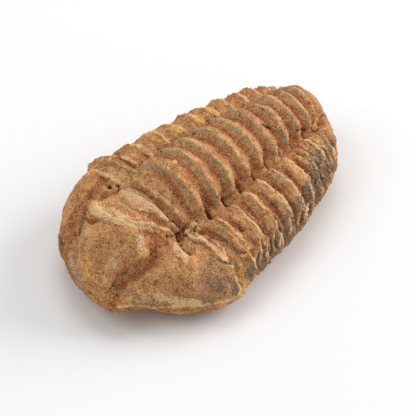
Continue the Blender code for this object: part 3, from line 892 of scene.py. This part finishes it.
@dataclass(frozen=True)
class WeatheringAndShade:
    """Grain, streaks, pits and stains that cover the whole stone, with painted shade in its hollows and
    painted highlights on its crests and ridges.
    """

    segments: Segments
    noise: StoneNoise
    lump: float = 0.16
    lump_size: float = 2.6
    grain: float = 0.14
    grain_size: float = 0.9
    streak: float = 0.24
    low_streak: float = 0.6
    axis_streak: float = 0.3
    low_span: Span = (0.35, 0.8)
    streak_counts: Triple = (6.5, 6.0, 5.0)
    streak_sway: float = 0.35
    sway_size: float = 2.0
    pit: float = 0.45
    pit_size: float = 0.8
    pit_edge: Span = (0.62, 0.85)
    cracks: Span = (-0.14, -0.5)
    crack_shade: float = 0.42
    ridges: Span = (0.14, 0.42)
    ridge_light: float = 0.5
    stain_size: float = 3.0
    stain_sway: float = 0.05

    def height(self, skin: Skin) -> Array:
        """Fine relief.

        Args:
            skin: the grid.

        Returns:
            Height over the skin.
        """
        part = self.segments.parts(skin)
        height = self.lump * self.noise.layers(skin.points, self.lump_size, 2)
        height = height + self.grain * self.noise.layers(skin.points, self.grain_size, 2, shift=9.0)
        low = blend_step(skin.side_share, *self.low_span)
        streaked = part["on_side"] * (1 + self.low_streak * low) + self.axis_streak * part["on_axis"]
        height = height + self.streak * self.streaks(skin) * streaked
        pits = blend_step(self.noise.at(skin.points, self.pit_size, shift=31.0), *self.pit_edge)
        return height - self.pit * pits

    def streaks(self, skin: Skin) -> Array:
        """Thin lines that follow the pleurae.

        Args:
            skin: the grid.

        Returns:
            The lines' height, from about -1 to 1.
        """
        run = np.stack([skin.place, skin.side_share, np.sign(skin.points[..., 0])], axis=-1)
        sway = self.streak_sway * self.noise.at(skin.points, self.sway_size)
        return self.noise.layers(run * self.streak_counts + sway[..., None], 1.0, 2)

    def shade(self, skin: Skin, fine: Array) -> None:
        """Paint shade into the cracks of the fine relief and paint highlights on its ridges."""
        skin.paint(Tint.DARK, self.crack_shade * blend_step(fine, *self.cracks))
        skin.paint(Tint.PALE, self.ridge_light * blend_step(fine, *self.ridges))

    def stain_and_shade(self, skin: Skin) -> None:
        """Paint the masks that follow the relief: rust, ochre, grey and soot, with painted shade in the
        grooves and pits and painted highlights on the crests.

        Args:
            skin: the grid.
        """
        part = self.segments.parts(skin)
        rough = self.noise.layers(skin.points, self.stain_size, 3, shift=5.0)
        bend = part["ring"] + self.stain_sway * rough
        pleura = part["pleura"]
        on_axis = part["on_axis"]
        on_side = part["on_side"]
        is_near = skin.points[..., 0] > 0
        near = on_side * np.where(is_near, 1.0, 0.25) * blend_step(skin.lobe_share, 1.2, 1.5)
        far = on_side * np.where(is_near, 0.0, 1.0)
        far_slope = bell(pleura, 0.72, 0.12) * far
        far_crest = bell(np.mod(pleura + 0.5, 1.0), 0.5, 0.14) * far
        ring_hollow = shelf(bend, 0.1, 0.3, 0.58, 0.72) * on_axis
        pleura_hollow = np.where(is_near, 0.8, 0.35) * bell(pleura, 0.26, 0.18) * on_side
        pleura_edge = bell(np.minimum(pleura, 1 - pleura), 0.0, 0.06) * on_side
        pit = bell(part["ring"], self.segments.pit_share, 0.09) * part["furrow"] * part["ringed"]
        tail = blend_step(skin.place, 8.0, 12.0) * blend_step(skin.lobe_share, 0.8, 1.2)
        # tint, strength, unevenness and cover
        stains_and_shade = (
            # grey band on the ring's front slope: grey stone and painted shade of that slope
            (Tint.CREST, 0.8, 0.5, shelf(bend, 0.68, 0.76, 0.88, 0.97) * on_axis),
            # painted highlight along the ring's crest
            (Tint.PALE, 0.45, 0.6, bell(bend, 0.94, 0.05) * on_axis),
            # painted shade in the groove between rings
            (Tint.DARK, 0.46, 0.0, bell(bend, 0.5, 0.14) * on_axis),
            (Tint.CREST, 0.5, 0.7, shelf(pleura, 0.45, 0.6, 0.9, 0.98) * near),
            (Tint.RUST, 0.85, 0.4, ring_hollow + pleura_hollow),
            (Tint.RUST, 0.75, 0.5, far_slope),
            (Tint.OCHRE, 0.2, 0.7, far_slope),
            # painted highlight on the far pleurae's crests
            (Tint.PALE, 0.5, 0.5, far_crest),
            # painted shade in the furrow between pleurae
            (Tint.DARK, 0.42, 0.0, bell(pleura, 0.2, 0.1) * on_side),
            # painted shade in the pits of the axial furrow
            (Tint.DARK, 0.95, 0.0, pit),
            # painted highlight along the pleurae's crest edges
            (Tint.PALE, 0.45, 0.4, pleura_edge),
            (Tint.SOOT, 0.3, 0.5, blend_step(skin.side_share, 0.55, 0.95)),
            (Tint.SOOT, 0.35, 0.5, tail),
        )
        for tint, strength, unevenness, cover in stains_and_shade:
            skin.paint(tint, (strength + unevenness * rough) * cover)


class Signal:
    """A value in a material. Arithmetic on it adds Math nodes."""

    def __init__(self, bench: "Bench", socket: bpy.types.NodeSocket) -> None:
        """Wrap an output socket."""
        self.bench = bench
        self.socket = socket

    def _math(self, operation: str, first: Self | float, second: Self | float) -> Self:
        """Add one Math node."""
        inputs = {"Value": first, "Value_001": second}
        return self.bench.out("ShaderNodeMath", {"operation": operation}, inputs)

    def __add__(self, other: Self | float) -> Self:
        """Sum."""
        return self._math("ADD", self, other)

    def __radd__(self, other: float) -> Self:
        """Sum with a number first."""
        return self._math("ADD", other, self)

    def __sub__(self, other: Self | float) -> Self:
        """Difference."""
        return self._math("SUBTRACT", self, other)

    def __rsub__(self, other: float) -> Self:
        """Difference from a number."""
        return self._math("SUBTRACT", other, self)

    def __mul__(self, other: Self | float) -> Self:
        """Product."""
        return self._math("MULTIPLY", self, other)

    def __rmul__(self, other: float) -> Self:
        """Product with a number first."""
        return self._math("MULTIPLY", other, self)

    def clamped(self) -> Self:
        """The value held between 0 and 1."""
        return self._math("MAXIMUM", self._math("MINIMUM", self, 1.0), 0.0)


class Bench:
    """Adds nodes to one material."""

    def __init__(self, name: str) -> None:
        """Start a material with a Principled shader.

        Args:
            name: the material's name.
        """
        self.material = bpy.data.materials.new(name)
        self.material.use_nodes = True
        self.tree = self.material.node_tree
        self.shader = self.tree.nodes["Principled BSDF"]

    @staticmethod
    def _find(sockets: bpy.types.bpy_prop_collection, key: str) -> bpy.types.NodeSocket:
        """A socket by its identifier, or else by its name.

        Args:
            sockets: a node's inputs or outputs.
            key: the identifier or name.

        Returns:
            The socket.
        """
        for socket in sockets:
            if socket.identifier == key:
                return socket
        return sockets[key]

    def put(self, socket: bpy.types.NodeSocket, value: object) -> None:
        """Link a signal to a socket, or set the socket's own value.

        Args:
            socket: the socket.
            value: a signal, a number or a colour.
        """
        if isinstance(value, Signal):
            self.tree.links.new(value.socket, socket)
        else:
            socket.default_value = value

    def out(self, kind: str, settings: Values, inputs: Values, output: str = "") -> Signal:
        """Add a node.

        Args:
            kind: the node's type.
            settings: its own settings, set first.
            inputs: values or signals for its sockets, by identifier or name.
            output: the output that is wanted, the first unless it is named.

        Returns:
            The output.
        """
        node = self.tree.nodes.new(kind)
        for name, value in settings.items():
            setattr(node, name, value)
        for key, value in inputs.items():
            self.put(self._find(node.inputs, key), value)
        return Signal(self, self._find(node.outputs, output) if output else node.outputs[0])

    def mix(self, factor: Signal | float, first: object, second: object) -> Signal:
        """Mix two colours.

        Args:
            factor: share of the second colour, from 0 to 1.
            first: a colour or a signal that gives one.
            second: the same.

        Returns:
            The mixed colour.
        """
        settings = {"data_type": "RGBA", "clamp_factor": True}
        inputs = {"Factor_Float": factor, "A_Color": first, "B_Color": second}
        return self.out("ShaderNodeMix", settings, inputs, "Result_Color")

    def mask(self, tint: Tint) -> Signal:
        """A mask that was painted on the mesh."""
        return self.out("ShaderNodeAttribute", {"attribute_name": tint.value}, {}, "Fac")

    def stone_noise(self, scale: float, detail: float, roughness: float) -> Signal:
        """Noise through the stone.

        Args:
            scale: bumps per millimetre.
            detail: how many finer layers are added.
            roughness: how strong the finer layers are.

        Returns:
            The noise, above and below 0.
        """
        where = self.out("ShaderNodeTexCoord", {}, {}, "Object")
        inputs = {"Vector": where, "Scale": scale / MM, "Detail": detail, "Roughness": roughness}
        return self.out("ShaderNodeTexNoise", {}, inputs, "Fac") - 0.5

    def steps(self, value: Signal, low: float, high: float) -> Signal:
        """Smooth step.

        Args:
            value: what is stepped.
            low: where the step starts.
            high: where it ends, which may lie below low.

        Returns:
            0 at low and before it, 1 at high and past it.
        """
        settings = {"interpolation_type": "SMOOTHSTEP"}
        inputs = {"Value": value, "From Min": low, "From Max": high}
        return self.out("ShaderNodeMapRange", settings, inputs, "Result")


def weighted(weights: tuple[float, ...], *signals: Signal) -> Signal:
    """Sum of signals, each with its weight."""
    first, *rest = (signal * weight for weight, signal in zip(weights, signals))
    return sum(rest, first)


@dataclass(frozen=True)
class Paint:
    """Colour of a tint, how much it covers at the most, and how ragged its patches are."""

    tint: Tint
    colour: Colour
    cover: float
    raggedness: float = 1.0


@dataclass(frozen=True)
class FossilStone:
    """Dry brown limestone with rust in its hollows, crust, chalk and soot, and painted shade and
    highlights. Colours are linear.

    Each noise is given as bumps per millimetre, detail and roughness. A mix gives the weights of cloud,
    blotch, grain and speck, or of those of them that it uses, in that order.
    """

    tan: Colour = (0.66, 0.325, 0.13, 1.0)
    brown: Colour = (0.48, 0.20, 0.068, 1.0)
    shade: Colour = (0.07, 0.03, 0.012, 1.0)
    crust_and_highlight: Colour = (0.85, 0.55, 0.28, 1.0)
    paints: tuple[Paint, ...] = (
        Paint(Tint.RUST, (0.37, 0.11, 0.034, 1.0), 0.9),
        Paint(Tint.CREST, (0.42, 0.30, 0.16, 1.0), 0.65),
        Paint(Tint.SOOT, (0.13, 0.105, 0.078, 1.0), 0.75),
        # pale: crust, and painted highlights on crests, ridges and edges
        Paint(Tint.PALE, crust_and_highlight, 0.85),
        Paint(Tint.OCHRE, (0.78, 0.43, 0.11, 1.0), 0.9),
        Paint(Tint.CHALK, (0.56, 0.46, 0.29, 1.0), 0.8),
        # dark: painted shade in grooves, cracks, pits and under ledges
        Paint(Tint.DARK, shade, 0.92, 0.5),
    )
    cloud: Triple = (0.22, 4.0, 0.6)
    blotch: Triple = (0.7, 5.0, 0.65)
    grain: Triple = (2.6, 3.0, 0.7)
    speck: Triple = (4.4, 1.0, 0.6)
    cloud_mix: Span = (1.0, 0.8)
    cloud_edge: Span = (-0.14, 0.16)
    patch_mix: Span = (0.9, 1.1)
    patch_edge: Span = (0.25, 0.8)
    tone_mix: Triple = (0.5, 0.5, 1.5)
    light_specks: Triple = (0.04, 0.30, 0.6)
    dark_specks: Triple = (-0.04, -0.30, 0.75)
    roughness: Span = (0.89, 0.18)
    specular: float = 0.3
    bump_mix: Triple = (0.35, 0.3, 0.35)
    bump_depth: float = 0.6

    def make(self) -> bpy.types.Material:
        """Build the material.

        Returns:
            The stone.
        """
        bench = Bench("fossil_stone")
        looks = (self.cloud, self.blotch, self.grain, self.speck)
        cloud, blotch, grain, speck = (bench.stone_noise(*look) for look in looks)
        clouded = bench.steps(weighted(self.cloud_mix, cloud, blotch), *self.cloud_edge)
        colour = bench.mix(clouded, self.brown, self.tan)
        ragged = weighted(self.patch_mix, blotch, grain)
        for paint in self.paints:
            patches = bench.steps(bench.mask(paint.tint) + ragged * paint.raggedness, *self.patch_edge)
            colour = bench.mix(patches * paint.cover, colour, paint.colour)
        tone = weighted(self.tone_mix, blotch, grain, speck)
        specks = ((self.light_specks, self.crust_and_highlight), (self.dark_specks, self.shade))
        for (start, end, most), tint in specks:
            colour = bench.mix(bench.steps(tone, start, end) * most, colour, tint)
        bench.put(bench.shader.inputs["Base Color"], colour)
        middle, variation = self.roughness
        bench.put(bench.shader.inputs["Roughness"], (middle + variation * blotch).clamped())
        bench.shader.inputs["Specular IOR Level"].default_value = self.specular
        height = weighted(self.bump_mix, blotch, grain, speck)
        inputs = {"Strength": 1.0, "Distance": self.bump_depth * MM, "Height": height}
        bump = bench.out("ShaderNodeBump", {}, inputs, "Normal")
        bench.put(bench.shader.inputs["Normal"], bump)
        return bench.material


@dataclass(frozen=True)
class PaleFloor:
    """Matt white studio floor."""

    colour: Colour = (0.86, 0.86, 0.86, 1.0)
    roughness: float = 0.95
    specular: float = 0.0
    half_size: float = 2.5

    def make(self) -> None:
        """Lay the floor at z = 0."""
        bench = Bench("floor")
        bench.shader.inputs["Base Color"].default_value = self.colour
        bench.shader.inputs["Roughness"].default_value = self.roughness
        bench.shader.inputs["Specular IOR Level"].default_value = self.specular
        reach = self.half_size
        corners = [(-reach, -reach, 0.0), (reach, -reach, 0.0), (reach, reach, 0.0), (-reach, reach, 0.0)]
        mesh = bpy.data.meshes.new("floor")
        mesh.from_pydata(corners, [], [(0, 1, 2, 3)])
        mesh.materials.append(bench.material)
        floor = bpy.data.objects.new("floor", mesh)
        bpy.context.scene.collection.objects.link(floor)


@dataclass(frozen=True)
class Softbox:
    """A round area light that looks at the foot of the stone."""

    name: str
    direction: Triple
    distance: float
    size: float
    power: float

    def make(self) -> None:
        """Hang the light."""
        data = bpy.data.lights.new(self.name, "AREA")
        data.shape = "DISK"
        data.size = self.size
        data.energy = self.power
        light = bpy.data.objects.new(self.name, data)
        towards = Vector(self.direction).normalized()
        light.location = towards * self.distance
        light.rotation_euler = towards.to_track_quat("Z", "Y").to_euler()
        bpy.context.scene.collection.objects.link(light)


@dataclass
class Studio:
    """Floor, lights, sky and camera."""

    view: PhotoView
    floor: PaleFloor = PaleFloor()
    lights: tuple[Softbox, ...] = (
        Softbox("key", (-0.3, 0.35, 1.0), 1.0, 0.7, 2.6),
        Softbox("back", (0.4, 0.85, 0.45), 1.0, 0.8, 8.0),
        Softbox("fill", (-0.4, -0.7, 1.0), 1.0, 0.7, 2.4),
    )
    sky: float = 0.47

    def make(self) -> None:
        """Set everything up."""
        self.floor.make()
        for light in self.lights:
            light.make()
            log.info("light %s", light.name)
        world = bpy.data.worlds.new("sky")
        world.use_nodes = True
        background = world.node_tree.nodes["Background"]
        background.inputs["Color"].default_value = (1.0, 1.0, 1.0, 1.0)
        background.inputs["Strength"].default_value = self.sky
        bpy.context.scene.world = world
        bpy.context.scene.view_settings.view_transform = "Standard"
        self.view.make_camera()


@dataclass
class Trilobite:
    """The stone with the whole animal on it."""

    view: PhotoView
    body: Body = Body()
    segments: Segments = Segments()
    head: HeadForms = HeadForms()
    stone: FossilStone = FossilStone()
    rows: int = 330
    columns: tuple[tuple[Zone, int], ...] = ((Zone.AXIS, 50), (Zone.SIDE, 78), (Zone.BELLY, 22))
    seed: int = 7
    relief_end: Span = (1.12, 0.92)
    fine_end: Span = (1.9, 1.4)

    def shape(self) -> Skin:
        """Body, relief, marks, weathering, and painted shade and highlights, one on the other.

        Returns:
            The finished grid, in millimetres in the part's frame.
        """
        noise = StoneNoise(self.seed)
        skin = self.body.skin(self.body.rows(self.rows), self.columns)
        upper = blend_step(skin.side_share, *self.relief_end)
        height = (self.segments.height(skin) + self.head.height(skin)) * upper + self.head.long_waves(skin)
        weathering_and_shade = WeatheringAndShade(self.segments, noise)
        weathering_and_shade.stain_and_shade(skin)
        fine = weathering_and_shade.height(skin)
        skin.raise_by(height)
        skin.points = skin.points - np.array((self.body.origin_x, self.body.origin_y, 0.0))
        fine = fine + Marks(self.view).apply(skin, noise)
        # painted shade in the cracks of the fine relief and painted highlights on its ridges
        weathering_and_shade.shade(skin, fine)
        skin.raise_by(fine * blend_step(skin.side_share, *self.fine_end))
        skin.points[..., 2] = np.maximum(skin.points[..., 2], 0.0)
        return skin

    def tip(self, row: int) -> Triple:
        """The point that closes the grid before its first row or after its last."""
        section = dict(zip(self.body.fields, self.body.sections[row]))
        return section["centre"] - self.body.origin_x, section["y"] - self.body.origin_y, section["edge_z"]

    def faces(self, rows: int, columns: int) -> list[tuple[int, ...]]:
        """Faces of the grid and its two tips.

        Args:
            rows: rows of the grid.
            columns: columns of the grid.

        Returns:
            The faces, as numbers of vertices, all facing out.
        """
        last = (rows - 1) * columns
        front = rows * columns
        faces: list[tuple[int, ...]] = []
        for column in range(columns):
            following = (column + 1) % columns
            faces.append((front, following, column))
            faces.append((front + 1, last + column, last + following))
            for start in range(0, last, columns):
                behind = start + columns
                faces.append((start + column, start + following, behind + following, behind + column))
        return faces

    def make(self) -> None:
        """Build and dress the stone, and put it in the place of the solid."""
        skin = self.shape()
        rows, columns = skin.place.shape
        corners = np.concatenate([skin.points.reshape(-1, 3), [self.tip(0), self.tip(-1)]]) * MM
        mesh = bpy.data.meshes.new("stone")
        mesh.from_pydata(corners.tolist(), [], self.faces(rows, columns))
        mesh.shade_smooth()
        for tint, values in skin.masks.items():
            layer = mesh.attributes.new(tint.value, "FLOAT", "POINT")
            layer.data.foreach_set("value", np.append(values.reshape(-1), (0.0, 0.0)).astype(np.float32))
        mesh.materials.append(self.stone.make())
        stone = bpy.data.objects.new("stone", mesh)
        bpy.context.scene.collection.objects.link(stone)
        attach(stone, "root")
        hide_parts("trilobite")
        log.info("stone: %d vertices, %d faces", len(mesh.vertices), len(mesh.polygons))


def main() -> None:
    """Build the scene."""
    logging.basicConfig(level=logging.INFO, format="%(name)s: %(message)s")
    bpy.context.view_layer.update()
    view = PhotoView()
    Trilobite(view).make()
    Studio(view).make()


if __name__ == "__main__":
    main()
